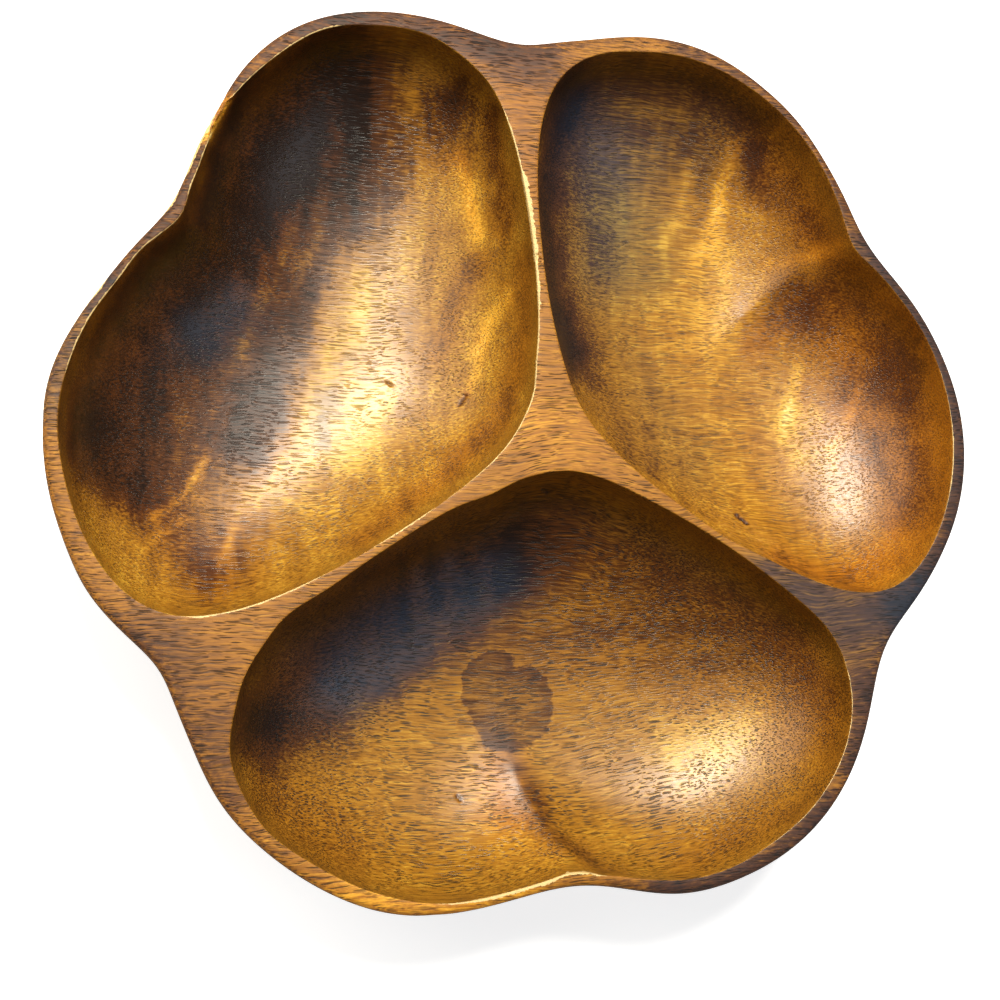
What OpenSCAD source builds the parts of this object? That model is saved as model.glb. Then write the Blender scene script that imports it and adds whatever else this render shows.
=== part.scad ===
/* [Outline] */
// Reach of the six lobes, from the middle of the dish to the outer edge
lobe_reach = 88; // [80:1:104]
// Radius of each lobe, seen from above
lobe_radius = 40; // [36:1:46]
// Angle between the middle of a compartment and each of its two lobes, in degrees
lobe_spread = 29.4; // [27:0.1:31]
// How sharply two lobes meet in the notch between them
lobe_sharpness = 10; // [6:1:14]

/* [Height] */
// Height of the rim above the table
rim_height = 32; // [28:1:40]
// Radius that softens the outer edge of the rim
rim_round = 1.2; // [0.6:0.1:1.6]
// How far the foot lies inside the rim
foot_inset = 24; // [16:1:30]

/* [Hollows] */
// Depth of each hollow below the rim
hollow_depth = 22; // [14:1:24]
// Width of the rim round the lobes
rim_land = 3; // [2.4:0.1:5]
// Roundness of a hollow's wall: 2 is an ellipse, more is a flatter floor and a steeper wall
wall_fullness = 2.3; // [1.8:0.1:3.5]
// Angle between the middle of a compartment and each of its two scoops, in degrees
scoop_spread = 27.2; // [24:0.1:29]
// Radius of a scoop as a share of the lobe's radius
scoop_radius_share = 1.06; // [1:0.01:1.15]
// How sharply the scoops turn into the sides along the ribs
hollow_sharpness = 8; // [5:1:12]
// How sharply the two scoops meet at the rim, where the ridge between them starts
ridge_sharpness = 60; // [30:5:90]
// How sharply they still meet on the floor, where the ridge fades away
floor_sharpness = 14; // [8:1:24]

/* [Ribs] */
// Width of a rib's flat crest where it is narrowest
rib_width = 1.3; // [1:0.1:4]
// Distance from the hub to the narrowest place of a rib
rib_waist = 36; // [28:1:46]
// Radius of the long arcs that form the two sides of a rib
rib_side_radius = 240; // [120:10:500]
// Place of the hub, where the ribs meet, to the right of the middle
hub_right = 2.5; // [0:0.1:4]
// Place of the hub behind the middle
hub_back = 1.6; // [0:0.1:4]

/* [Carved by hand] */
// Direction of the middle of the right compartment, in degrees
right_angle = 31.8; // [29:0.1:34]
// Direction of the middle of the left compartment, in degrees
left_angle = 151.4; // [149:0.1:154]
// Direction of the middle of the front compartment, in degrees
front_angle = 271.8; // [268:0.1:274]
// Direction of the outer end of the right rib, in degrees
right_rib_angle = -28.5; // [-31:0.5:-26]
// Direction of the outer end of the back rib, in degrees
back_rib_angle = 93.5; // [91:0.5:96]
// Direction of the outer end of the left rib, in degrees
left_rib_angle = 212.5; // [210:0.5:215]
// Spread of the right compartment's lobes and scoops, as a share of the common spread
right_spread_share = 0.97; // [0.94:0.01:1.06]
// Spread of the left compartment's lobes and scoops, as a share of the common spread
left_spread_share = 1.03; // [0.94:0.01:1.06]
// Spread of the front compartment's lobes and scoops, as a share of the common spread
front_spread_share = 1; // [0.94:0.01:1.06]
// Share of the common radius in the right compartment's first lobe; the second makes up for it
right_lobe_share = 1.03; // [0.92:0.01:1.08]
// Share of the common radius in the left compartment's first lobe
left_lobe_share = 0.93; // [0.92:0.01:1.08]
// Share of the common radius in the front compartment's first lobe
front_lobe_share = 1.06; // [0.92:0.01:1.08]
// Angle from the middle of the right compartment to the lowest place of its hollow, in degrees
right_lean_angle = -1.5; // [-8:0.5:8]
// Angle to the lowest place of the left hollow
left_lean_angle = -5; // [-8:0.5:8]
// Angle to the lowest place of the front hollow
front_lean_angle = -8; // [-8:0.5:8]

/* [Facets] */
// Steps along the outer edge of one compartment, an even number
edge_steps = 40; // [24:2:48]
// Steps along one rib, from its outer end to the hub
rib_steps = 20; // [12:1:24]
// Rings down the wall of a hollow
hollow_rings = 12; // [8:1:14]
// Rings down the outside of the dish
side_rings = 8; // [5:1:10]
// Rings round the softened outer edge of the rim
round_rings = 3; // [1:1:4]

/* [Hidden] */
dish_count = 3;
dish_angles = [right_angle, left_angle, front_angle];
spread_shares = [right_spread_share, left_spread_share, front_spread_share];
lobe_shares = [right_lobe_share, left_lobe_share, front_lobe_share];
lean_angles = [right_lean_angle, left_lean_angle, front_lean_angle];
// Rib i lies before compartment i, counter-clockwise, and the first one closes the circle
rib_angles = [right_rib_angle, back_rib_angle, left_rib_angle, right_rib_angle + 360];
// A compartment lies a sixth of a turn from each of its ribs
rib_turn = 360 / dish_count / 2;
hub = [hub_right, hub_back];
scoop_reach = lobe_reach - rim_land;
scoop_radius = lobe_radius * scoop_radius_share;
// Distance from the middle of the dish to the lowest place of a hollow
hollow_reach = scoop_reach / 2;
ring_size = edge_steps + 2 * rib_steps;
edge_size = dish_count * edge_steps;

function polar(length, angle) = length * [cos(angle), sin(angle)];
function unit(v) = v / norm(v);
function left_of(v) = [-v.y, v.x];
function sum(values) = [for (v = values) 1] * values;

// Distance from a point to a circle's far side along a direction, or 0 where it misses
function ray_reach(from, direction, center, radius) =
    let (along = (center - from) * direction,
         inside = radius ^ 2 - norm(center - from) ^ 2 + along ^ 2)
    inside > 0 ? max(0, along + sqrt(inside)) : 0;

// The largest or the least of some distances, with the change from one to the next rounded
function soft_most(values, sharpness) =
    let (most = max(values)) most * sum([for (v = values) (v / most) ^ sharpness]) ^ (1 / sharpness);
function soft_least(values, sharpness) =
    let (least = min(values)) least * sum([for (v = values) (v / least) ^ -sharpness]) ^ (-1 / sharpness);

// Radius and centre of one lobe or scoop of compartment i: side is -1 for its first, 1 for its second
function round_radius(radius, i, side) = radius * (1 - side * (lobe_shares[i] - 1));
function round_center(reach, radius, spread, i, side) =
    polar(reach - round_radius(radius, i, side), dish_angles[i] + side * spread * spread_shares[i]);

// Outline of the dish: six round lobes that run together
function outline_reach(angle) =
    soft_most([for (i = [0 : dish_count - 1], side = [-1, 1])
        ray_reach([0, 0], polar(1, angle), round_center(lobe_reach, lobe_radius, lobe_spread, i, side),
                  round_radius(lobe_radius, i, side))], lobe_sharpness);

// Direction of step m round the outer edge; each compartment has half its steps on each side
function edge_angle(m) =
    let (i = floor(m / edge_steps) % dish_count, half = edge_steps / 2, j = m % edge_steps)
    j < half ? rib_angles[i] + (dish_angles[i] - rib_angles[i]) * j / half
             : dish_angles[i] + (rib_angles[i + 1] - dish_angles[i]) * (j - half) / half;

// Point m of the outer edge, drawn in towards the middle by an inset
function edge_point(m, inset) =
    let (angle = edge_angle(m % edge_size)) polar(outline_reach(angle) - inset, angle);

// Rib i runs straight from the hub to its end; its steps look even from a hollow's middle
rib_ends = [for (i = [0 : dish_count - 1]) edge_point(i * edge_steps, rim_round)];
function rib_point(i, step) =
    let (span = rib_ends[i] - hub,
         near = hollow_reach * cos(rib_turn),
         away = hollow_reach * sin(rib_turn),
         first = -atan(near / away),
         last = atan((norm(span) - near) / away))
    hub + unit(span) * (near + away * tan(first + (last - first) * step / rib_steps));

// Border of compartment i on the flat land: the outer edge, in along one rib and out along another
function border_point(i, j) =
    j <= edge_steps ? edge_point(i * edge_steps + j, rim_round) :
    j <= edge_steps + rib_steps ? rib_point((i + 1) % dish_count, edge_steps + rib_steps - j)
                                : rib_point(i, j - edge_steps - rib_steps);

// Centre of the long arc on one side of rib i: side is 1 to its left and -1 to its right
function rib_arc_center(i, side) =
    let (along = unit(rib_ends[i] - hub))
    hub + along * rib_waist + side * left_of(along) * (rib_side_radius + rib_width / 2);

// Outline of hollow i: two overlapping scoops on the outer side, long arcs along both ribs.
// It is the mouth at full sharpness; further down the ridge between the scoops is rounder
hollow_middles = [for (i = [0 : dish_count - 1]) polar(hollow_reach, dish_angles[i] + lean_angles[i])];
function hollow_outline(i, direction, sharpness) =
    let (middle = hollow_middles[i],
         scoops = [for (side = [-1, 1])
             ray_reach(middle, direction, round_center(scoop_reach, scoop_radius, scoop_spread, i, side),
                       round_radius(scoop_radius, i, side))],
         arcs = [rib_arc_center(i, 1), rib_arc_center((i + 1) % dish_count, -1)],
         sides = [for (c = arcs) ray_reach(middle, direction, c, rib_side_radius)])
    soft_least(concat([soft_most(scoops, sharpness)], sides), hollow_sharpness);

// Ring k of hollow i, from the mouth down; every ring is the outline drawn in towards the middle
function hollow_ring(i, k) =
    let (slope = 90 * k / hollow_rings,
         sharpness = ridge_sharpness * (floor_sharpness / ridge_sharpness) ^ (k / hollow_rings),
         reach_share = cos(slope) ^ (2 / wall_fullness),
         depth_share = sin(slope) ^ (2 / wall_fullness))
    [for (j = [0 : ring_size - 1])
        let (ray = border_point(i, j) - hollow_middles[i],
             reach = min(hollow_outline(i, unit(ray), sharpness), norm(ray) - rib_width / 2),
             p = hollow_middles[i] + unit(ray) * reach * reach_share)
        [p.x, p.y, rim_height - hollow_depth * depth_share]];
function hollow_points(i) = concat(
    [for (k = [0 : hollow_rings - 1]) each hollow_ring(i, k)],
    [[hollow_middles[i].x, hollow_middles[i].y, rim_height - hollow_depth]]);

// Points inside the land: those between the two ends of each rib, and the hub
land_points = [
    for (i = [0 : dish_count - 1], step = [1 : rib_steps - 1]) [each rib_point(i, step), rim_height],
    [hub.x, hub.y, rim_height]];

// Loops down the outside: a quarter round at the rim, then a quarter ellipse in to the foot
round_sections = [for (w = [0 : round_rings]) let (turn = 90 * w / round_rings)
    [rim_round * (1 - sin(turn)), rim_height - rim_round * (1 - cos(turn))]];
side_sections = [for (w = [1 : side_rings]) let (turn = 90 * w / side_rings)
    [foot_inset * (1 - cos(turn)), (rim_height - rim_round) * (1 - sin(turn))]];
sections = concat(round_sections, side_sections);
outside_points = [
    for (s = sections, m = [0 : edge_size - 1]) [each edge_point(m, s[0]), s[1]],
    [0, 0, 0]];

// Numbers of the points in each loop
hollow_size = ring_size * hollow_rings + 1;
land_start = dish_count * hollow_size;
hub_index = land_start + dish_count * (rib_steps - 1);
outside_start = hub_index + 1;
foot_index = outside_start + len(sections) * edge_size;
function ring_loop(i, k) = [for (j = [0 : ring_size - 1]) i * hollow_size + k * ring_size + j];
function edge_loop(w) = [for (m = [0 : edge_size - 1]) outside_start + w * edge_size + m];
function rib_index(i, step) =
    step == 0 ? hub_index :
    step == rib_steps ? outside_start + i * edge_steps : land_start + i * (rib_steps - 1) + step - 1;
function border_loop(i) = [
    for (j = [0 : edge_steps]) outside_start + (i * edge_steps + j) % edge_size,
    for (step = [rib_steps - 1 : -1 : 0]) rib_index((i + 1) % dish_count, step),
    for (step = [1 : rib_steps - 1]) rib_index(i, step)];

// A closed band between two loops, and a fan that closes one, each facing up
function band(inner, outer) =
    [for (j = [0 : len(inner) - 1]) let (n = (j + 1) % len(inner))
        each [[inner[j], inner[n], outer[n]], [inner[j], outer[n], outer[j]]]];
function fan(loop, tip) =
    [for (j = [0 : len(loop) - 1]) [tip, loop[(j + 1) % len(loop)], loop[j]]];
function turned(faces) = [for (f = faces) [f[0], f[2], f[1]]];

// The whole dish, carved from one piece of wood: three hollows, the flat land and the outside
module carved_dish() {
    hollow_faces = [for (i = [0 : dish_count - 1])
        each concat([for (k = [1 : hollow_rings - 1]) each band(ring_loop(i, k), ring_loop(i, k - 1))],
                    fan(ring_loop(i, hollow_rings - 1), (i + 1) * hollow_size - 1))];
    land_faces = [for (i = [0 : dish_count - 1]) each band(ring_loop(i, 0), border_loop(i))];
    side_faces = [for (w = [1 : len(sections) - 1]) each band(edge_loop(w - 1), edge_loop(w))];
    foot_faces = turned(fan(edge_loop(len(sections) - 1), foot_index));
    color("peru")
        polyhedron(
            points = concat([for (i = [0 : dish_count - 1]) each hollow_points(i)],
                            land_points, outside_points),
            faces = concat(hollow_faces, land_faces, side_faces, foot_faces),
            convexity = 6);
}

carved_dish();
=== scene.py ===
import math

import bmesh
import bpy
import numpy as np
from mathutils import Matrix, Vector, noise
from mathutils.bvhtree import BVHTree


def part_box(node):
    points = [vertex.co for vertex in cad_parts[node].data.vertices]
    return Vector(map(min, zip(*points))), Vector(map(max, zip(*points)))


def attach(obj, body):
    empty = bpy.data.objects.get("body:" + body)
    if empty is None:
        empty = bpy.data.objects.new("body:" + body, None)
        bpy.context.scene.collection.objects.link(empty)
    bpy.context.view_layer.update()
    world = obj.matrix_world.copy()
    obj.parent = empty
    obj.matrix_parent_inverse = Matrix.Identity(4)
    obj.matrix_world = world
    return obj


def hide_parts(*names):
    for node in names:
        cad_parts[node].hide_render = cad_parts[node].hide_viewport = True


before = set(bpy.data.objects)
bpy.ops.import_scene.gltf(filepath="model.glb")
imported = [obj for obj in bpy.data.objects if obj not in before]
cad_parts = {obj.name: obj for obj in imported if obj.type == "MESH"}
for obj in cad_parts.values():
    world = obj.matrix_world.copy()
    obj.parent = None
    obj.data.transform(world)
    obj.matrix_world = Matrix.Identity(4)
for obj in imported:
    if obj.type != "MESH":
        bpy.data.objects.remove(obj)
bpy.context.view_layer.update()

mm = 0.001

# The camera looks down on the dish from the left and a little in front, as the picture does
pictureCamera = {
    "eye": (-75.0, -44.7, 270.8),  # mm, in the dish's own frame
    "aim": (-9.21, -10.9, 32.0),  # mm
    "up": (-0.0182, 0.9907, 0.1351),
    "view": 39.66,  # degrees across the square picture
    "size": 1000,  # pixels across
}

# The softboxes stand where the satin highlights in the three hollows ask for them
softboxes = {
    "key": {
        "toward": (-0.07, 0.42, 0.90), "away": 0.9, "width": 0.26,
        "power": 11.0, "color": (1.0, 0.96, 0.88),
    },
    "window": {
        "toward": (-0.55, 0.45, 0.70), "away": 1.2, "width": 0.9,
        "power": 6.0, "color": (1.0, 0.95, 0.84),
    },
    "sheen": {
        "toward": (0.53, -0.20, 0.82), "away": 1.0, "width": 0.32,
        "power": 0.7, "color": (0.74, 0.85, 1.0),
    },
}
room = {"color": (0.95, 0.97, 1.0), "strength": 0.09}

floorLook = {
    "half": 1.5,  # metres
    "color": (0.82, 0.82, 0.82),
    "glow": 0.75,  # how much of the white that the camera sees is its own
}

dishForm = {
    "merge": 0.01,  # mm, closes the loose triangles of the copy
    "quadAngles": (40, 60),  # degrees, how far two triangles may differ and still make one quad
    "mouthAngle": 50,  # degrees, edges at the rim that turn more than this are the hollows' mouths
    "outerBand": (0.5, 2.0),  # mm below the rim, where the outer edge is read
    "outerReach": 74,  # mm from the middle, further out than any mouth
    "landDepth": 0.7,  # mm below the rim, where the side begins
    "arris": 0.3,  # mm, width of the rubbed edge round each hollow
    "arrisSteps": 2,
    "levels": 2,  # rounds of subdivision
    "fullness": 2.3,  # roundness of a hollow's wall, as it was carved
    "calm": (0.12, 0.85),  # shares of a hollow's reach between which its corners come in
    "calmTurns": 3,  # waves of the outline kept on the floor
    "turns": 256,  # places round an outline
    "dentReach": 2.2,  # mm round a knock where the faces are made smaller
}

# Unevenness left by hand carving: size of the waves and their height, in mm
handwork = {"broad": (16.0, 0.11), "fine": (6.0, 0.025), "side": (20.0, 0.25)}

# How far marks stray from their lines, in the same way
strays = {"broad": (9.0, 1.8), "fine": (3.5, 0.9)}
fibreWander = (24.0, 0.9)

# Starts of the noises, so that no two unevennesses are the same
seeds = {"hollow": 3.1, "side": 7.7, "stray": 11, "fibre": 31, "dent": 41}

# Where the carved edges stray from the plain curves: pixel, mm outwards, mm of edge on each side
edgeMoves = {
    "outer": [
        ((905, 292), 0.70, 12), ((847, 200), 0.55, 8), ((760, 85), -0.45, 10), ((554, 41), 0.80, 7),
        ((300, 24), 0.65, 14), ((220, 105), -0.50, 7), ((140, 240), 0.70, 8), ((50, 375), 0.60, 10),
        ((88, 595), 0.75, 8), ((155, 668), -0.90, 6), ((215, 800), 0.85, 12), ((400, 915), 0.45, 12),
        ((675, 894), 1.10, 12), ((910, 605), 0.60, 10),
    ],
    "left": [
        ((320, 29), 1.30, 9), ((460, 58), -0.95, 7), ((538, 385), 0.50, 5), ((142, 248), 0.90, 5),
        ((58, 405), 0.70, 10), ((186, 197), 0.50, 3),
    ],
    "right": [((579, 403), 0.55, 7), ((725, 537), 0.50, 6), ((640, 52), -0.50, 7)],
    "front": [
        ((492, 495), -0.80, 5), ((588, 474), 1.25, 8), ((828, 625), 0.90, 8), ((775, 845), -0.50, 8),
        ((594, 874), 0.90, 3.5), ((268, 835), 0.85, 7), ((233, 712), -1.75, 7), ((290, 612), 1.30, 6),
    ],
}

# Colours of the wood from dark to worn pale, as they look on a screen, and the tone where each stands
woodTones = [
    (0.0, (28, 15, 7)), (0.25, (78, 44, 15)), (0.5, (154, 105, 27)),
    (0.75, (210, 163, 54)), (1.0, (245, 218, 135)),
]

# Sizes are in mm, along the fibre and in the two directions across it
woodGrain = {
    "tone": 0.5,
    "sway": 1.6,  # mm, how far the fibre wanders from a straight line
    "swaySizes": [(9.0, 6.0, 6.0), (7.0, 5.0, 5.0)],
    "pore": (4.2, 0.31, 0.31),  # cell that holds one pore
    "poreWidth": (0.44, 0.25),  # where a pore fades out and where it is full, as shares of its cell
    "porePatches": (9.0, 7.0, 7.0),
    "poreDark": 0.75,
    "poreDepth": 0.08,
    "bump": 0.5,
    "fine": (7.5, 0.42, 0.42),
    "fineWidth": (0.42, 0.15),
    "fineDark": 0.5,
    "fibre": (7.0, 0.34, 0.34),
    "fibreTone": 0.66,
    "band": (40.0, 4.0, 4.0),
    "bandTone": 0.16,
    "curl": (3.6, 16.0, 16.0),
    "curlTone": 0.34,
    "ripple": (1.5, 6.0, 6.0),
    "rippleTone": 0.16,
    "stainFray": (1.6, 1.1, 1.1),
    "weather": (1.4, 0.7, 0.7),  # blotches along the outer edge
    "weatherTone": 0.45,
    "weatherBand": (4.5, 1.5),  # mm from the outer edge, where it starts and where it is full
    "rimDark": 0.05,
    "rimBand": (3.0, 0.8),
    "warmth": (1.15, 0.9, 0.5),  # what full warmth does to red, green and blue
    # Grey: a cool tint, partly grey wood and partly a painted bluish sheen reflected off the walls and
    # land
    "greyAndSheenTint": (0.72, 0.95, 1.5),
    "greyAndSheenLift": (0.003, 0.011, 0.025),
    # pale also colours the outer edge's line, which is partly a painted highlight
    "pale": (222, 192, 128),  # bare wood where the edges are worn
    "roughness": 0.34,
    "landRoughness": 0.24,  # more, on the rim and the ribs
}

# Tilts of the fibre: pixel at the middle, rise in mm per mm to the right, reach in mm
fibreTilts = [
    ((650, 780), 0.16, 26), ((520, 450), 0.22, 14), ((300, 700), 0.05, 20),
    ((700, 540), 0.3, 12), ((850, 620), 0.2, 10),
]

# Marks: tone, warmth and grey added, width in mm, and a line of pixels. Most follow the wood's figure;
# the grey paints a cool sheen, and some marks paint shade or highlights, as noted at each
figureAndPaintedLightMarks = {
    "left": [
        # The first three marks darken the upper-left wall, which faces away from the key light: partly
        # dark heartwood, partly painted shade
        (-0.42, 0.4, 0, 12, [(320, 70), (262, 190), (180, 320), (125, 440)]),
        (-0.16, 0.3, -0.1, 8, [(345, 100), (290, 170), (252, 260)]),
        (-0.27, 0.2, 0, 6, [(80, 440), (100, 350), (130, 290), (176, 246)]),
        (-0.10, 0, 0.1, 6, [(245, 120), (285, 175)]),
        (-0.30, 0, 0.1, 5, [(240, 90), (222, 150), (208, 205)]),
        (-0.08, 0.1, 0, 7, [(330, 45), (400, 60), (430, 95)]),
        # Painted bluish sheen reflection on this wall, over darker wood
        (-0.16, 0, 0.7, 5, [(205, 335), (225, 335), (245, 318)]),
        (-0.24, 0.1, 0, 7, [(375, 120), (372, 245)]),
        (-0.24, 0.1, 0, 4, [(460, 95), (464, 150)]),
        (-0.10, 0.1, 0, 4, [(372, 170), (376, 220)]),
        (-0.12, 0.3, 0, 5, [(290, 425), (262, 485), (228, 560)]),
        (-0.14, 0.1, 0, 6, [(330, 180), (295, 330), (250, 430)]),
        (-0.20, 0, 0, 0.6, [(427, 97), (429, 136)]),
        (-0.18, 0.1, 0, 5, [(300, 300), (270, 380), (235, 440)]),
        (0.20, -0.2, 0, 5, [(385, 230), (345, 320), (305, 420), (271, 490)]),
        (0.10, -0.2, 0, 6, [(400, 180), (385, 260)]),
        (-0.18, 0.1, 0, 1.8, [(356, 120), (356, 226)]),
        (0.12, -0.3, 0, 1.2, [(325, 150), (318, 235), (296, 290)]),
        (0.10, -0.3, 0, 1.0, [(300, 200), (285, 260), (262, 310)]),
        (0.10, 0, 0, 1.0, [(268, 260), (250, 330), (232, 370)]),
        (-0.14, 0, 0, 1.6, [(340, 190), (330, 250), (318, 300)]),
        (0.16, 0.4, 0, 2.6, [(460, 160), (468, 190), (474, 230)]),
        (0.10, 0.4, 0, 1.2, [(462, 150), (478, 232)]),
        (-0.12, 0.2, 0, 2.5, [(445, 100), (440, 160)]),
        (-0.18, 0.5, 0, 3.0, [(490, 110), (503, 190), (506, 225)]),
        (0.20, 0.4, 0, 1.8, [(508, 295), (490, 322), (478, 350)]),
        (0.14, 0.4, 0, 1.4, [(484, 340), (476, 372), (466, 392)]),
        (-0.14, 0.3, 0, 3, [(478, 262), (455, 310), (432, 356)]),
        (-0.24, 0, 0.6, 2.2, [(326, 396), (328, 440)]),
        # Partly pale wood, partly a painted highlight
        (0.22, -0.3, 0, 5, [(378, 400), (350, 452)]),
        (-0.14, 0.2, 0, 4.0, [(420, 145), (392, 215), (376, 260)]),
        (-0.12, 0.1, 0, 4.0, [(318, 350), (290, 410), (262, 470)]),
        (-0.08, 0.1, 0, 4.0, [(200, 290), (196, 330)]),
        (0.18, 0, 0, 0.8, [(236, 398), (226, 425), (206, 455), (192, 482)]),
        (0.14, 0, 0, 1.0, [(222, 398), (196, 446)]),
        (0.16, 0, 0, 1.0, [(284, 456), (262, 492), (250, 520)]),
        (0.14, 0, 0, 0.9, [(262, 470), (236, 520), (222, 560)]),
        (0.20, 0, 0, 1.0, [(208, 463), (185, 495), (150, 520)]),
        (0.14, 0, 0, 1.2, [(180, 520), (140, 550)]),
        (-0.16, 0.3, 0, 6, [(240, 390), (215, 440), (190, 480)]),
        (-0.18, 0.5, 0, 6, [(140, 500), (190, 550), (215, 580)]),
        (-0.12, 0.6, 0, 4, [(525, 270), (525, 340), (505, 420), (440, 480), (370, 535)]),
        (-0.30, 0, 0, 0.5, [(388, 383), (391, 385)]),
        (-0.30, 0.3, 0, 0.6, [(465, 396), (460, 404)]),
    ],
    "right": [
        # Darkens the left wall, which faces away from the key light: partly dark wood, partly painted
        # shade
        (-0.42, 0, 0.2, 6, [(575, 80), (549, 140), (545, 220), (552, 290), (568, 350)]),
        (-0.20, -0.2, 0.35, 11, [(615, 130), (690, 145)]),
        (-0.12, 0.1, 0, 4, [(735, 130), (750, 180)]),
        # These two paint a grey sheen reflection on the upper-left wall, over darker wood
        (-0.14, -0.2, 0.6, 8, [(575, 110), (585, 200), (600, 260)]),
        (0, -0.2, 0.6, 5, [(606, 190), (610, 215)]),
        (-0.14, 0.2, 0, 3, [(760, 150), (762, 200)]),
        (-0.14, 0.4, 0, 6, [(895, 380), (920, 450), (915, 500)]),
        (-0.05, 0, 0.4, 9, [(590, 280), (640, 380), (690, 460)]),
        (-0.08, 0.3, 0, 5, [(845, 400), (866, 440), (880, 500)]),
        (-0.18, 0.1, 0, 5, [(630, 72), (700, 85), (745, 110)]),
        (-0.14, 0.5, 0, 7, [(775, 150), (815, 225)]),
        (-0.12, 0, 0.15, 7, [(562, 330), (590, 400), (640, 460)]),
        (0.22, 0.3, 0, 1.6, [(734, 146), (726, 180), (716, 210)]),
        (0.14, 0.3, 0, 2.4, [(722, 200), (706, 250)]),
        (0.17, 0.2, 0, 1.5, [(690, 166), (678, 210), (662, 250)]),
        (0.09, 0.2, 0, 1.6, [(712, 215), (694, 262), (668, 305)]),
        (0.16, 0.1, 0, 5, [(722, 265), (712, 335)]),
        # Painted shade along the lower side of the crest
        (-0.07, 0.4, 0, 4, [(840, 275), (795, 310), (755, 345)]),
        (-0.20, 0.4, 0, 6, [(790, 315), (860, 305), (905, 345)]),
        (-0.10, 0.4, 0, 4, [(815, 222), (835, 262)]),
        (0, 0.9, 0, 9, [(880, 330), (925, 400)]),
        (-0.02, -0.4, 0.4, 8, [(620, 190), (650, 270)]),
        (0.10, 0.4, 0, 1.5, [(765, 266), (842, 246)]),
        (0.20, 0, 0, 1.6, [(797, 370), (790, 405), (780, 440)]),
        (0.06, 0, 0, 1.2, [(818, 350), (810, 405)]),
        (0.14, 0.3, 0, 1.3, [(854, 408), (832, 455)]),
        (-0.12, 0.2, 0, 1.8, [(806, 380), (800, 440)]),
        (-0.06, 0.3, 0, 2.0, [(838, 400), (822, 440)]),
        (-0.08, 0.3, 0, 6, [(825, 345), (890, 395)]),
        (0.04, 0.1, 0, 9, [(640, 290), (700, 400), (745, 480)]),
        (0.20, -0.1, 0, 4, [(793, 415), (804, 450)]),
        (-0.04, 1.0, 0, 6, [(922, 400), (930, 480), (905, 555), (860, 582)]),
        (-0.12, 0.8, 0, 4, [(780, 560), (850, 588)]),
        (-0.06, 0.3, 0, 3.5, [(862, 360), (872, 400), (872, 470)]),
        (-0.35, 0.1, 0, 0.5, [(735, 515), (746, 523)]),
        (-0.16, 0, 0, 0.5, [(648, 470), (654, 476), (664, 484)]),
        (-0.16, 0, 0, 0.5, [(668, 488), (676, 494), (688, 504)]),
        (-0.16, 0, 0, 0.5, [(700, 512), (716, 522)]),
        (-0.16, 0, 0, 0.5, [(722, 534), (744, 548)]),
    ],
    "front": [
        # The first three marks darken the top walls under the ribs, which face away from the key light:
        # partly dark wood, partly painted shade
        (-0.31, 0.1, 0, 9, [(262, 710), (335, 628), (425, 568), (505, 536)]),
        (-0.12, 0.2, 0, 4, [(385, 690), (450, 650), (485, 622)]),
        (-0.22, 0.3, 0, 10, [(560, 530), (680, 580), (760, 625)]),
        # Painted bluish sheen reflection on the wall under the rib, over darker wood; the grey marks
        # just below add to it
        (-0.28, 0, 1.0, 6, [(345, 682), (380, 662), (440, 618), (500, 582)]),
        (-0.14, 0.2, 0, 5, [(505, 560), (560, 570)]),
        (-0.02, 0.6, 0, 4, [(500, 770), (515, 815)]),
        (-0.10, 0, 0.6, 5, [(350, 635), (450, 580)]),
        (0.0, -0.1, 0.8, 3.5, [(345, 686), (405, 656)]),
        (-0.06, -0.1, 0.3, 6, [(300, 640), (360, 600)]),
        (-0.12, 0, 0, 1.3, [(400, 560), (404, 628)]),
        (-0.12, 0, 0, 1.3, [(432, 550), (434, 610)]),
        (0.07, 0, 0.5, 1.3, [(417, 572), (420, 622)]),
        (0.07, 0, 0.4, 1.5, [(449, 562), (452, 608)]),
        (0.06, 0, 0.4, 1.5, [(484, 560), (488, 598)]),
        # Darkens the steep left wall: partly dark wood, partly painted shade
        (-0.22, 0, 0.1, 6, [(250, 730), (320, 725)]),
        (-0.10, 0.3, 0, 8, [(270, 800), (330, 850)]),
        # Lighter on the lit side of the crest: partly gold wood, partly painted light
        (0.07, 0.3, 0, 6, [(475, 785), (500, 830), (550, 862)]),
        (-0.08, 0.3, 0, 8, [(780, 720), (810, 700)]),
        # Painted shade on the shaded side of the crest
        (-0.18, 0.2, 0, 3.0, [(520, 770), (550, 830), (605, 868)]),
        (-0.08, 0.4, 0, 7, [(800, 650), (838, 700), (832, 770)]),
        (-0.08, 0.3, 0, 5, [(690, 862), (790, 815)]),
        (-0.14, 0.2, 0, 9, [(530, 640), (640, 640), (700, 690)]),
        # Painted highlight on the floor of the right scoop
        (0.24, -0.2, 0, 7, [(680, 745), (735, 728)]),
        (-0.12, 0.1, 0.1, 2.2, [(488, 738), (506, 748)]),
        (-0.35, 0.2, 0, 0.5, [(457, 797), (460, 800)]),
        (-0.30, 0, 0, 0.5, [(543, 489), (547, 492)]),
    ],
    "land": [
        # These two paint a grey reflection on the land and round the right rim, over darker wood
        (-0.24, -0.2, 0.8, 9, [(770, 585), (850, 620), (890, 610)]),
        (-0.30, 0, 0.6, 5, [(870, 250), (932, 340), (960, 440), (948, 540), (905, 600)]),
        (-0.16, 0.2, 0.2, 5, [(690, 55), (780, 110), (840, 205)]),
        (-0.18, 0.1, 0, 5, [(98, 290), (180, 200), (230, 90), (330, 18)]),
        (-0.10, 0, 0.5, 4, [(50, 400), (60, 360), (98, 290)]),
        (-0.26, 0.2, 0, 6, [(360, 18), (480, 45), (540, 60)]),
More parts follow.
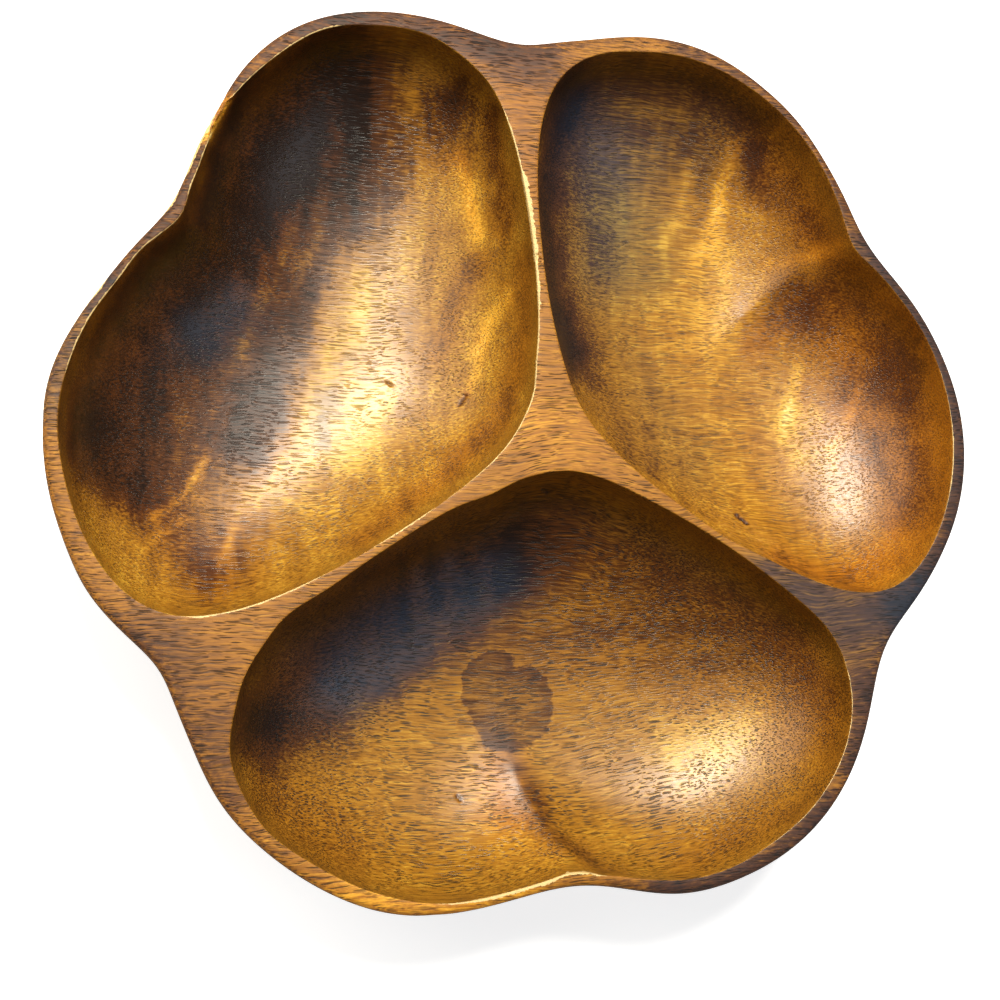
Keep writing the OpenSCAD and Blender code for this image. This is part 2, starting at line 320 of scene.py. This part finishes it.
        (-0.26, 0, 0.4, 5, [(868, 690), (848, 790), (770, 862), (650, 893)]),
        (-0.14, 0, 0, 7, [(150, 640), (205, 700), (225, 780)]),
        (-0.06, 0.2, 0, 5, [(520, 100), (530, 180)]),
        (0.08, 0.2, 0, 6, [(540, 420), (575, 445)]),
        (0.20, 0.3, 0, 4, [(320, 892), (420, 912), (540, 895)]),
    ],
    "side": [
        # Painted grey reflection on the right side, over darker wood
        (-0.30, 0, 0.6, 6, [(965, 440), (950, 540), (880, 650)]),
    ],
    "all": [
        (0.34, 1.0, 0, 1.7, [(227, 103), (220, 117), (213, 131)]),
        (0.45, -0.5, 0, 0.7, [(210, 134), (205, 140)]),
    ],
}

# Stains with a clear edge: darkness, and the pixels round each
stains = [
    (0.12, [
        (503, 650), (514, 657), (512, 669), (528, 665), (543, 674), (551, 692),
        (553, 714), (546, 733), (530, 745), (508, 752), (486, 750), (480, 736),
        (470, 718), (461, 696), (463, 675), (472, 660), (486, 652),
    ]),
]

# For each region: tone and warmth of the bare wood, and how strongly the curl and the pores show in it
moods = {
    "left": (0, 0.1, 1.0, 0.8),
    "right": (-0.01, 0.28, 0.7, 0.75),
    "front": (-0.03, 0.1, 0.35, 1.15),
    "land": (-0.04, 0.60, 0.15, 1.05),
    "side": (-0.10, 0.2, 0.3, 0.8),
}

# Worn arrises: how wide the pale line is in mm, and the line of pixels along it
wornMarks = {
    "left": [
        (0.3, [(508, 122), (516, 148), (522, 172)]),
        (0.9, [(525, 182), (531, 215), (536, 254)]),
        (0.5, [(538, 262), (539, 300)]),
        (0.25, [
            (539, 320), (537, 365), (531, 400), (521, 420),
            (510, 440), (493, 460), (475, 475), (450, 495),
        ]),
        (0.30, [(420, 517), (400, 531), (370, 547), (330, 569), (300, 586), (260, 604), (200, 617)]),
        (0.25, [(60, 360), (100, 292), (140, 250), (180, 200), (215, 110), (260, 55), (330, 26)]),
    ],
    "right": [(0.2, [(935, 380), (952, 440), (956, 500), (950, 560)])],
    "front": [
        (0.25, [(380, 890), (440, 900)]),
        (0.55, [(450, 900), (500, 896), (560, 884), (590, 876)]),
        (0.12, [(600, 491), (650, 520), (700, 550), (760, 590), (800, 615)]),
        (0.15, [(780, 850), (830, 800), (850, 720), (855, 660)]),
    ],
}

# The same along the outer edge of the rim, where the pale line is partly rubbed wood and partly a
# painted highlight on the rounded edge
rubbedAndHighlitMarks = [
    (0.6, [(98, 290), (130, 245), (172, 203), (190, 165), (208, 128)]),
    (0.3, [(50, 420), (60, 360), (98, 290)]),
]

# Crests that run on from the cusps where two scoops meet: height and width in mm, and the pixels
ridgeLines = {
    "front": (0.62, 4.5, [(594, 874), (562, 850), (542, 828), (526, 800), (512, 768), (500, 745)]),
    "right": (0.55, 4.5, [(850, 246), (802, 270), (765, 295), (738, 322), (715, 348)]),
    "left": (0.45, 4.0, [(186, 213), (206, 240), (234, 268)]),
}

# Knocks and pits: depth and width in mm, and the line of pixels
dents = [
    (0.65, 1.0, [(227, 100), (212, 132)]),
    (0.5, 0.5, [(537, 256), (540, 260)]),
    (0.35, 0.5, [(735, 515), (746, 523)]),
    (0.22, 0.35, [(388, 383), (391, 385)]),
    (0.22, 0.35, [(465, 396), (460, 404)]),
    (0.20, 0.35, [(457, 797), (460, 800)]),
    (0.20, 0.35, [(543, 489), (547, 492)]),
]


def makeCamera():
    eye, aim = (Vector(pictureCamera[k]) * mm for k in ("eye", "aim"))
    back = (eye - aim).normalized()
    right = Vector(pictureCamera["up"]).cross(back).normalized()
    data = bpy.data.cameras.new("picture")
    data.angle = math.radians(pictureCamera["view"])
    data.clip_start = 1 * mm
    camera = bpy.data.objects.new("picture", data)
    bpy.context.scene.collection.objects.link(camera)
    turned = Matrix((right, back.cross(right), back)).transposed().to_4x4()
    camera.matrix_world = Matrix.Translation(eye) @ turned
    bpy.context.scene.camera = camera
    return camera


def sight(camera, pixel):
    # Ray from the camera through a pixel, in metres
    half = pictureCamera["size"] / 2
    reach = half / math.tan(math.radians(pictureCamera["view"]) / 2)
    ray = Vector((pixel[0] - half, half - pixel[1], -reach)).normalized()
    return camera.matrix_world.translation.copy(), camera.matrix_world.to_3x3() @ ray


def onPlane(camera, pixel, height):
    # Place in mm, seen from above, where a pixel's ray meets a level
    eye, ray = sight(camera, pixel)
    place = eye + ray * ((height - eye.z) / ray.z)
    return np.array(place[:2]) / mm


def makeLight():
    for name, box in softboxes.items():
        data = bpy.data.lights.new(name, "AREA")
        data.shape = "DISK"
        data.size = box["width"]
        data.energy = box["power"]
        data.color = box["color"]
        lamp = bpy.data.objects.new(name, data)
        bpy.context.scene.collection.objects.link(lamp)
        toward = Vector(box["toward"]).normalized()
        turned = toward.to_track_quat("Z", "Y").to_matrix().to_4x4()
        lamp.matrix_world = Matrix.Translation(toward * box["away"]) @ turned
    world = bpy.data.worlds.new("room")
    bpy.context.scene.world = world
    world.use_nodes = True
    back = world.node_tree.nodes["Background"]
    back.inputs["Color"].default_value = (*room["color"], 1)
    back.inputs["Strength"].default_value = room["strength"]
    bpy.context.scene.view_settings.view_transform = "Standard"


class Wire:
    # A socket that can be reckoned with: each sum makes the node for it
    def __init__(self, tree, socket):
        self.tree, self.socket = tree, socket

    def node(self, kind, settings=None, **values):
        made = self.tree.nodes.new(kind)
        for name, value in (settings or {}).items():
            setattr(made, name, value)
        for name, value in values.items():
            number = name[1:]  # i0, i1 and so on are sockets by number
            place = made.inputs[int(number) if number.isdigit() else name.replace("_", " ")]
            if isinstance(value, Wire):
                self.tree.links.new(value.socket, place)
            else:
                place.default_value = value
        return made

    def out(self, made, name=0):
        return Wire(self.tree, made.outputs[name])

    def isVector(self, *others):
        return any(
            o.socket.type in ("VECTOR", "RGBA") if isinstance(o, Wire) else isinstance(o, tuple)
            for o in (self, *others)
        )

    def reckon(self, kind, *values):
        maths = "ShaderNodeMath"
        if self.isVector(*values):
            maths = "ShaderNodeVectorMath"
            values = [(v, v, v) if isinstance(v, (int, float)) else v for v in values]
        inputs = {f"i{n}": value for n, value in enumerate(values)}
        return self.out(self.node(maths, {"operation": kind}, **inputs))

    def __add__(self, other):
        return self.reckon("ADD", self, other)

    def __radd__(self, other):
        return self.reckon("ADD", other, self)

    def __sub__(self, other):
        return self.reckon("SUBTRACT", self, other)

    def __rsub__(self, other):
        return self.reckon("SUBTRACT", other, self)

    def __mul__(self, other):
        return self.reckon("MULTIPLY", self, other)

    def __rmul__(self, other):
        return self.reckon("MULTIPLY", other, self)

    def __truediv__(self, other):
        return self.reckon("DIVIDE", self, other)

    def __rtruediv__(self, other):
        return self.reckon("DIVIDE", other, self)

    def size(self):
        return self.reckon("ABSOLUTE", self)

    def most(self, other):
        return self.reckon("MAXIMUM", self, other)

    def step(self, low, high):
        # 0 at low, 1 at high, and a smooth way between; low may be the greater one
        smoothly = {"interpolation_type": "SMOOTHSTEP"}
        made = self.node("ShaderNodeMapRange", smoothly, Value=self, From_Min=low, From_Max=high)
        return self.out(made)

    def parts(self):
        made = self.node("ShaderNodeSeparateXYZ", i0=self)
        return [self.out(made, n) for n in range(3)]

    def joined(self, x, y, z):
        return self.out(self.node("ShaderNodeCombineXYZ", i0=x, i1=y, i2=z))

    def noise(self, scale=1.0, detail=2.0, rough=0.5, warp=0.0):
        # Smooth noise about 0, from -0.5 to 0.5
        made = self.node(
            "ShaderNodeTexNoise", None,
            Vector=self, Scale=scale, Detail=detail, Roughness=rough, Distortion=warp,
        )
        return self.out(made) - 0.5

    def cells(self):
        # Distance to the nearest scattered point
        return self.out(self.node("ShaderNodeTexVoronoi", None, Vector=self, Scale=1.0))

    def blend(self, first, second):
        # From the first colour to the second as this value goes from 0 to 1
        mixing = {"data_type": "RGBA", "clamp_factor": True}
        made = self.node("ShaderNodeMix", mixing, i0=self, i6=first, i7=second)
        return self.out(made, 2)


def attribute(tree, name):
    made = tree.nodes.new("ShaderNodeAttribute")
    made.attribute_name = name
    return Wire(tree, made.outputs["Vector"])


def shade(red, green, blue):
    # A colour written as it looks on a screen, 0 to 255, turned into light
    parts = (red / 255, green / 255, blue / 255)
    return (*(c / 12.92 if c < 0.04045 else ((c + 0.055) / 1.055) ** 2.4 for c in parts), 1)


def makeFloor():
    bpy.ops.object.select_all(action="DESELECT")
    bpy.ops.mesh.primitive_plane_add(size=2 * floorLook["half"], location=(0, 0, 0))
    floor = bpy.context.object
    floor.name = "floor"
    material = bpy.data.materials.new("paleFloor")
    material.use_nodes = True
    nodes, links = material.node_tree.nodes, material.node_tree.links
    nodes.clear()
    diffuse = nodes.new("ShaderNodeBsdfDiffuse")
    diffuse.inputs["Color"].default_value = (*floorLook["color"], 1)
    glow = nodes.new("ShaderNodeEmission")
    seen = nodes.new("ShaderNodeLightPath")
    strength = nodes.new("ShaderNodeMath")
    strength.operation = "MULTIPLY"
    links.new(seen.outputs["Is Camera Ray"], strength.inputs[0])
    strength.inputs[1].default_value = floorLook["glow"]
    links.new(strength.outputs[0], glow.inputs["Strength"])
    both = nodes.new("ShaderNodeAddShader")
    links.new(diffuse.outputs[0], both.inputs[0])
    links.new(glow.outputs[0], both.inputs[1])
    out = nodes.new("ShaderNodeOutputMaterial")
    links.new(both.outputs[0], out.inputs["Surface"])
    floor.data.materials.append(material)
    return floor


def pick(piece, kind, test):
    # Selects the points, edges or faces of the piece in edit mode that pass a test
    bpy.ops.mesh.select_mode(type=kind)
    bpy.ops.mesh.select_all(action="DESELECT")
    mesh = bmesh.from_edit_mesh(piece.data)
    found = [e for e in {"VERT": mesh.verts, "EDGE": mesh.edges, "FACE": mesh.faces}[kind] if test(e)]
    for element in found:
        element.select_set(True)
    bmesh.update_edit_mesh(piece.data)
    return mesh, found


def places(piece):
    # The piece's points in mm
    flat = np.empty(3 * len(piece.data.vertices))
    piece.data.vertices.foreach_get("co", flat)
    return flat.reshape(-1, 3) / mm


def normals(piece):
    flat = np.empty(3 * len(piece.data.vertices))
    piece.data.vertices.foreach_get("normal", flat)
    return flat.reshape(-1, 3)


def setPlaces(piece, points):
    piece.data.vertices.foreach_set("co", (points * mm).ravel())
    piece.data.update()


def waves(points, size, seed):
    # Smooth unevenness from -1 to 1 at each point, in mm; size is the length of a wave
    start = Vector((seed, -seed, 2 * seed))
    return np.array([noise.noise(Vector(p) / size + start) for p in points])


def smooth(low, high, values):
    t = np.clip((values - low) / (high - low), 0, 1)
    return t * t * (3 - 2 * t)


class Outline:
    # A closed line seen from above, in mm, that goes once round its middle
    def __init__(self, points, middle=None):
        self.middle = (points.max(0) + points.min(0)) / 2 if middle is None else middle
        ray = points - self.middle
        turn = np.arctan2(ray[:, 1], ray[:, 0])
        order = np.argsort(turn)
        self.turn, self.reach, self.line = turn[order], np.hypot(*ray[order].T), points[order]

    def polar(self, plan, middle=None):
        ray = plan - (self.middle if middle is None else middle)
        return np.hypot(*ray.T), np.arctan2(ray[:, 1], ray[:, 0])

    def share(self, plan):
        # 0 in the middle, 1 on the line, more outside
        away, turn = self.polar(plan)
        return away / np.interp(turn, self.turn, self.reach, period=2 * math.pi)

    def gap(self, plan):
        # Distance to the line in mm, negative inside
        best = np.full(len(plan), np.inf)
        for a, b in zip(self.line, np.roll(self.line, -1, axis=0)):
            d = b - a
            t = np.clip((plan - a) @ d / (d @ d), 0, 1)
            best = np.minimum(best, np.hypot(*(plan - a - t[:, None] * d).T))
        return np.where(self.share(plan) < 1, -best, best)


def findOutlines(piece, rim):
    # The sharp edges at the rim's height are the mouths of the hollows
    sharp = math.radians(dishForm["mouthAngle"])
    level = rim - dishForm["merge"] * mm
    mesh, edges = pick(
        piece, "EDGE",
        lambda e: e.is_manifold and e.calc_face_angle() > sharp and min(v.co.z for v in e.verts) > level,
    )
    nearby = {}
    for edge in edges:
        for v in edge.verts:
            nearby.setdefault(v.index, set()).update(w.index for w in edge.verts)
    spots = {v.index: np.array(v.co[:2]) / mm for e in edges for v in e.verts}
    outlines, left = {}, set(spots)
    while left:
        todo, loop = [left.pop()], []
        while todo:
            one = todo.pop()
            loop.append(spots[one])
            new = nearby[one] & left
            left -= new
            todo += new
        mouth = Outline(np.array(loop))
        x, y = mouth.middle
        outlines["front" if y < 0 else "left" if x < 0 else "right"] = mouth
    edge = {}
    upper, lower = dishForm["outerBand"]
    for v in mesh.verts:
        if not upper * mm < rim - v.co.z < lower * mm:
            continue
        spot = np.array(v.co[:2]) / mm
        turn = round(math.degrees(math.atan2(spot[1], spot[0])), 1)
        if np.hypot(*spot) > np.hypot(*edge.get(turn, (0, 0))):
            edge[turn] = spot
    far = [s for s in edge.values() if np.hypot(*s) > dishForm["outerReach"]]
    outlines["outer"] = Outline(np.array(far), np.zeros(2))
    return outlines


def findRegions(dish, points, outlines, gaps, rim):
    # The three hollows, the flat land and the side of the dish, which curves in under the hollows
    out, regions = normals(dish), {}
    for name in ("left", "right", "front"):
        inward = ((outlines[name].middle - points[:, :2]) * out[:, :2]).sum(1) > 0
        wall = (gaps[name] < 1) & inward & (out[:, 2] < 0.8)
        regions[name] = (wall | (gaps[name] < 0) & (out[:, 2] > 0.3)) & (points[:, 2] > 5)
    inside = regions["left"] | regions["right"] | regions["front"]
    regions["side"] = ~inside & (points[:, 2] < rim - dishForm["landDepth"])
    regions["land"] = ~inside & ~regions["side"]
    return regions


def calmFloors(points, outlines, regions, rim):
    # Lower down, a hollow forgets the corners of its mouth, and its floor runs round
    for name in ("left", "right", "front"):
        mouth = outlines[name]
        inside = regions[name] & (points[:, 2] < rim - 0.5)
        mine = points[inside]
        floor = mine[:, 2].min()
        lowest = mine[np.argmin(mine[:, 2]), :2]
        deep, full = rim - floor, dishForm["fullness"]
        share = np.clip(1 - ((rim - mine[:, 2]) / deep) ** full, 0, 1) ** (1 / full)
        away, turn = mouth.polar(mine[:, :2], lowest)
        lineAway, lineTurn = mouth.polar(mouth.line, lowest)
        order = np.argsort(lineTurn)
        even = np.linspace(-math.pi, math.pi, dishForm["turns"], endpoint=False)
        wave = np.fft.rfft(np.interp(even, lineTurn[order], lineAway[order], period=2 * math.pi))
        wave[dishForm["calmTurns"] + 1:] = 0
        calm = away / np.interp(turn, even, np.fft.irfft(wave, dishForm["turns"]), period=2 * math.pi)
        keep = smooth(*dishForm["calm"], share)
        share = np.clip(share * keep + calm * (1 - keep), 0, 1)
        mine[:, 2] = rim - deep * (1 - share ** full) ** (1 / full)
        points[inside] = mine


def moveEdges(camera, points, outlines, gaps, regions, rim):
    # Each line is moved by its own list, and the wood between two lines follows the nearer one
    plan = points[:, :2]
    weight = {
        name: 1 / np.maximum(-gap if name == "outer" else gap, 0.02) ** 2
        for name, gap in gaps.items()
    }
    for name in weight:
        weight[name][regions["side"]] = name == "outer"
    total = sum(weight.values())
    shift = np.zeros_like(plan)
    for name, outline in outlines.items():
        push = np.zeros_like(plan)
        for pixel, outward, reach in edgeMoves[name]:
            spot = onPlane(camera, pixel, rim * mm)
            way = spot - outline.middle
            share = np.exp(-(np.hypot(*(plan - spot).T) / reach) ** 2)
            push += share[:, None] * outward * way / np.hypot(*way)
        if name == "outer":
            fade = np.where(points[:, 2] > rim - 2, 1, np.clip(points[:, 2] / rim, 0, 1))
        else:
            fade = np.clip(outline.share(plan), 0, 1) ** 1.5
        shift += push * (weight[name] / total * fade)[:, None]
    points[:, :2] += shift


def carveByHand(dish, points, gaps, regions):
    # Slow waves that a gouge and sandpaper leave; each fades out at the arrises
    drop = np.zeros(len(points))
    for name in ("left", "right", "front"):
        mine = regions[name]
        for n, (size, height) in enumerate((handwork["broad"], handwork["fine"])):
            uneven = height * waves(points[mine], size, seeds["hollow"] + n)
            drop[mine] += uneven * smooth(0, 3, -gaps[name][mine])
    side = regions["side"]
    fade = smooth(0, 8, points[side, 2]) * smooth(0, 6, points[:, 2].max() - points[side, 2])
    size, height = handwork["side"]
    drop[side] = height * (waves(points[side], size, seeds["side"]) - 1) * fade
    return points + normals(dish) * drop[:, None]


def cast(camera, tree, line, apart):
    # Places in mm where a line of pixels falls on the dish, a few pixels apart
    found = []
    for start, end in zip(line, line[1:] or line):
        steps = max(1, round(math.dist(start, end) / apart))
        for n in range(steps + 1):
            pixel = [a + (b - a) * n / steps for a, b in zip(start, end)]
            hit = tree.ray_cast(*sight(camera, pixel))[0]
            if hit:
                found.append(hit / mm)
    return np.array(found).reshape(-1, 3)


def near(points, line, width):
    # 1 on the line, falling smoothly away from it
    close = np.full(len(points), np.inf)
    if not len(line):
        return np.zeros(len(points))
    boxed = ((points > line.min(0) - 3 * width) & (points < line.max(0) + 3 * width)).all(1)
    for spot in line:
        close[boxed] = np.minimum(close[boxed], ((points[boxed] - spot) ** 2).sum(1))
    return np.exp(-close / width ** 2)


def along(points, line):
    # Distance to a line of places, and how far along it the nearest place is, from 0 to 1
    best, share = np.full(len(points), np.inf), np.zeros(len(points))
    for n, (a, b) in enumerate(zip(line, line[1:])):
        d = b - a
        t = np.clip((points - a) @ d / max(d @ d, 1e-9), 0, 1)
        away = np.linalg.norm(points - a - t[:, None] * d, axis=1)
        share = np.where(away < best, (n + t) / (len(line) - 1), share)
        best = np.minimum(best, away)
    return best, share


def refineDents(camera, dish):
    # Smaller faces where the small knocks go
    tree = BVHTree.FromObject(dish, bpy.context.evaluated_depsgraph_get())
    spots = np.concatenate([cast(camera, tree, line, 5) for depth, width, line in dents])
    bpy.ops.object.mode_set(mode="EDIT")

    def close(face):
        center = np.array(face.calc_center_median()) / mm
        return np.linalg.norm(spots - center, axis=1).min() < dishForm["dentReach"]

    pick(dish, "FACE", close)
    bpy.ops.mesh.subdivide(number_cuts=2, smoothness=0)
    bpy.ops.object.mode_set(mode="OBJECT")


def carveDetails(camera, dish, points, regions):
    # Crests between the scoops, then the knocks
    tree = BVHTree.FromObject(dish, bpy.context.evaluated_depsgraph_get())
    rise = np.zeros(len(points))
    for name, (height, width, line) in ridgeLines.items():
        spots = cast(camera, tree, line, 6)
        boxed = (points > spots.min(0) - width) & (points < spots.max(0) + width)
        mine = regions[name] & boxed.all(1)
        away, share = along(points[mine], spots)
        swell = smooth(0, 0.25, share) * (1 - smooth(0.45, 1, share))
        rise[mine] += height * swell * np.clip(1 - away / width, 0, 1) ** 2
    for depth, width, line in dents:
        uneven = np.stack([waves(points, width, seeds["dent"] + n) for n in range(3)], axis=1)
        ragged = points + 0.8 * width * uneven
        rise -= depth * near(ragged, cast(camera, tree, line, 2), width)
    return points + normals(dish) * rise[:, None]


def setAttribute(piece, name, values):
    layer = piece.data.attributes.new(name, "FLOAT_VECTOR", "POINT")
    layer.data.foreach_set("vector", np.ascontiguousarray(values, dtype=np.float32).ravel())


def makeDish(camera):
    low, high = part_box("carved_dish")
    bpy.ops.object.select_all(action="DESELECT")
    dish = bpy.data.objects.new("wooden_dish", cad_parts["carved_dish"].data.copy())
    bpy.context.scene.collection.objects.link(dish)
    dish.select_set(True)
    bpy.context.view_layer.objects.active = dish
    bpy.ops.object.mode_set(mode="EDIT")
    bpy.ops.mesh.select_all(action="SELECT")
    bpy.ops.mesh.remove_doubles(threshold=dishForm["merge"] * mm)
    faceAngle, shapeAngle = (math.radians(a) for a in dishForm["quadAngles"])
    bpy.ops.mesh.tris_convert_to_quads(face_threshold=faceAngle, shape_threshold=shapeAngle)
    outlines = findOutlines(dish, high.z)
    bpy.ops.mesh.bevel(
        offset=dishForm["arris"] * mm, segments=dishForm["arrisSteps"], profile=0.5, affect="EDGES",
    )
    bpy.ops.object.mode_set(mode="OBJECT")
    rounding = dish.modifiers.new("rounding", "SUBSURF")
    rounding.levels = rounding.render_levels = dishForm["levels"]
    bpy.ops.object.modifier_apply(modifier=rounding.name)
    refineDents(camera, dish)
    rim = high.z / mm
    points = places(dish)
    gaps = {name: outline.gap(points[:, :2]) for name, outline in outlines.items()}
    regions = findRegions(dish, points, outlines, gaps, rim)
    calmFloors(points, outlines, regions, rim)
    setPlaces(dish, points)
    points = carveByHand(dish, points, gaps, regions)
    moveEdges(camera, points, outlines, gaps, regions, rim)
    corner = [np.array(c) / mm for c in (low, high)]
    setPlaces(dish, points)
    points = carveDetails(camera, dish, points, regions)
    setPlaces(dish, np.clip(points, corner[0], corner[1]))
    bpy.ops.object.shade_smooth()
    print("dish:", len(dish.data.vertices), "points,", len(dish.data.polygons), "faces")
    return dish, gaps, regions


def markDish(camera, dish, gaps, regions):
    # What the wood shows at each point: its figure with some painted shade, highlights and sheen, its
    # fibre and its worn edges
    points = places(dish)
    tree = BVHTree.FromObject(dish, bpy.context.evaluated_depsgraph_get())
    stray = np.zeros((len(points), 3))
    for k, (size, far) in enumerate(strays.values()):
        for n in range(3):
            stray[:, n] += far * waves(points, size, seeds["stray"] + k + 5 * n)
    figureAndPaintedLight, mood = np.zeros((len(points), 3)), np.zeros((len(points), 3))
    for region, (tone, warm, curl, pore) in moods.items():
        figureAndPaintedLight[regions[region], :2] = tone, warm
        mood[regions[region], :2] = curl, pore
    for region, marks in figureAndPaintedLightMarks.items():
        mine = regions.get(region, slice(None))
        for *amounts, width, line in marks:
            spots = cast(camera, tree, line, max(3, 2.5 * width))
            ragged = points[mine] + stray[mine] * min(1, width / 3)  # thin marks stray less
            figureAndPaintedLight[mine] += near(ragged, spots, width)[:, None] * amounts
    setAttribute(dish, "figureAndPaintedLight", figureAndPaintedLight)
    rim = points[:, 2].max()
    drop = rim - points[:, 2]
    names = ("left", "right", "front")
    away = np.array([np.where(gaps[n] < 0, np.hypot(gaps[n], drop), gaps[n]) for n in names])
    mouth, worn = away.min(0), np.zeros(len(points))
    for name, own in zip(names, away):
        for width, line in wornMarks[name]:
            line = cast(camera, tree, line, 6)
            worn = np.maximum(worn, width * near(points, line, 2.5) * (own == mouth))
    mouth[regions["land"] | regions["side"]] *= -1
    outside = np.hypot(gaps["outer"], drop)
    # Pale outer edge: partly rubbed wood, partly a painted highlight
    for width, line in rubbedAndHighlitMarks:
        mood[:, 2] = np.maximum(mood[:, 2], width * near(points, cast(camera, tree, line, 4), 3))
    mood[:, 2] = np.where(drop < 1.6, mood[:, 2] - np.abs(gaps["outer"]), -1)
    setAttribute(dish, "mood", mood)
    stain = np.zeros((len(points), 3))  # distance to a stain's edge, negative inside, and its darkness
    stain[:, 0] = 9
    for darkness, line in stains:
        ring = np.unique(cast(camera, tree, line + line[:1], 4)[:, :2].round(2), axis=0)
        gap = Outline(ring).gap(points[:, :2])
        close = (gap < 3) & ~regions["side"]
        stain[close, 0] = gap[close]
        stain[close, 1] = darkness
    setAttribute(dish, "stain", stain)
    setAttribute(dish, "edge", np.stack([mouth, outside, worn], axis=1))
    lift = np.zeros(len(points))
    for pixel, rise, reach in fibreTilts:
        spot = onPlane(camera, pixel, rim * mm)
        away = points[:, :2] - spot
        lift += rise * away[:, 0] * np.exp(-(away ** 2).sum(1) / reach ** 2)
    grain = points.copy()
    grain[:, 1] -= lift + fibreWander[1] * waves(points, fibreWander[0], seeds["fibre"])
    setAttribute(dish, "grain", grain)
    print("marks:", sum(len(m) for m in figureAndPaintedLightMarks.values()), "strokes")


def makeWood():
    material = bpy.data.materials.new("wood")
    material.use_nodes = True
    tree = material.node_tree
    shader = tree.nodes["Principled BSDF"]
    shader.inputs["Specular Tint"].default_value = (1, 0.98, 0.92, 1)
    grain = attribute(tree, "grain")
    stainGap, darkness = attribute(tree, "stain").parts()[:2]
    curly, porous, rubbedAndHighlit = attribute(tree, "mood").parts()
    # The figure attribute holds the wood's figure, and also painted shade and highlights in its tone and
    # a painted sheen in its grey
    tone, warm, greyAndPaintedSheen = attribute(tree, "figureAndPaintedLight").parts()
    mouth, outside, worn = attribute(tree, "edge").parts()
    look = woodGrain
    sideways, upward = ((grain / size).noise() * look["sway"] for size in look["swaySizes"])
    wavy = grain + grain.joined(0.0, sideways, upward)
    patches = (wavy / look["porePatches"]).noise().step(-0.3, 0.1)
    pore = (wavy / look["pore"]).cells().step(*look["poreWidth"]) * patches
    fine = (wavy / look["fine"]).cells().step(*look["fineWidth"])
    fibre = (wavy / look["fibre"]).noise(detail=3.0, rough=0.6)
    band = (wavy / look["band"]).noise(detail=2.0)
    curl = (wavy / look["curl"]).noise(detail=2.0, warp=0.5)
    ripple = (wavy / look["ripple"]).noise(detail=2.0, warp=0.3)
    tone = tone + look["tone"] + fibre * look["fibreTone"] + band * look["bandTone"]
    frayed = stainGap + (grain / look["stainFray"]).noise(detail=3.0, rough=0.6) * 2.4
    stained = frayed.step(0.35, -0.25) * (1.0 + stainGap.step(-3.0, 0) * 0.4)  # darker towards its edge
    tone = tone - stained * darkness
    weathered = outside.step(*look["weatherBand"])
    blotches = (grain / look["weather"]).noise(detail=3.0, rough=0.6)
    tone = tone + blotches * weathered * look["weatherTone"]
    tone = tone + (ripple * look["rippleTone"] + curl * look["curlTone"]) * curly
    tone = tone - outside.step(*look["rimBand"]) * look["rimDark"]
    color = shade(*woodTones[0][1])
    for (low, first), (high, second) in zip(woodTones, woodTones[1:]):
        color = tone.step(low - 0.05, high).blend(color, shade(*second))
    color = warm.blend(color, color * look["warmth"])
    # The grey marks: partly grey wood, partly a painted cool sheen reflection
    color = greyAndPaintedSheen.blend(color, color * look["greyAndSheenTint"] + look["greyAndSheenLift"])
    color = color * (1.0 - pore * porous * look["poreDark"])
    color = color * (1.0 - fine * porous * look["fineDark"])
    wornThrough = (mouth.size() - worn * (1.0 + (grain * 1.7).noise() * 1.6)).step(0, -0.12)
    # Pale outer edge: partly rubbed wood, partly a painted highlight
    rubbedAndHighlitThrough = (rubbedAndHighlit + (grain * 2.0).noise() * 0.5).step(0, 0.12)
    pale = color.joined(*shade(*look["pale"])[:3]) * (1.0 + fibre * 0.7)
    color = wornThrough.most(rubbedAndHighlitThrough).blend(color, pale)
    height = fibre * 0.3 - pore - fine * 0.3
    bump = color.node(
        "ShaderNodeBump", None, Strength=look["bump"], Distance=look["poreDepth"] * mm, Height=height,
    )
    dry = mouth.step(0.3, -0.3) * look["landRoughness"] + weathered * 0.06
    roughness = pore * 0.2 + fibre * 0.2 + dry + look["roughness"]
    tree.links.new(color.socket, shader.inputs["Base Color"])
    tree.links.new(roughness.socket, shader.inputs["Roughness"])
    tree.links.new(bump.outputs[0], shader.inputs["Normal"])
    return material


camera = makeCamera()
makeLight()
makeFloor()
dish, gaps, regions = makeDish(camera)
markDish(camera, dish, gaps, regions)
dish.data.materials.clear()
dish.data.materials.append(makeWood())
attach(dish, "root")
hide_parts("carved_dish")
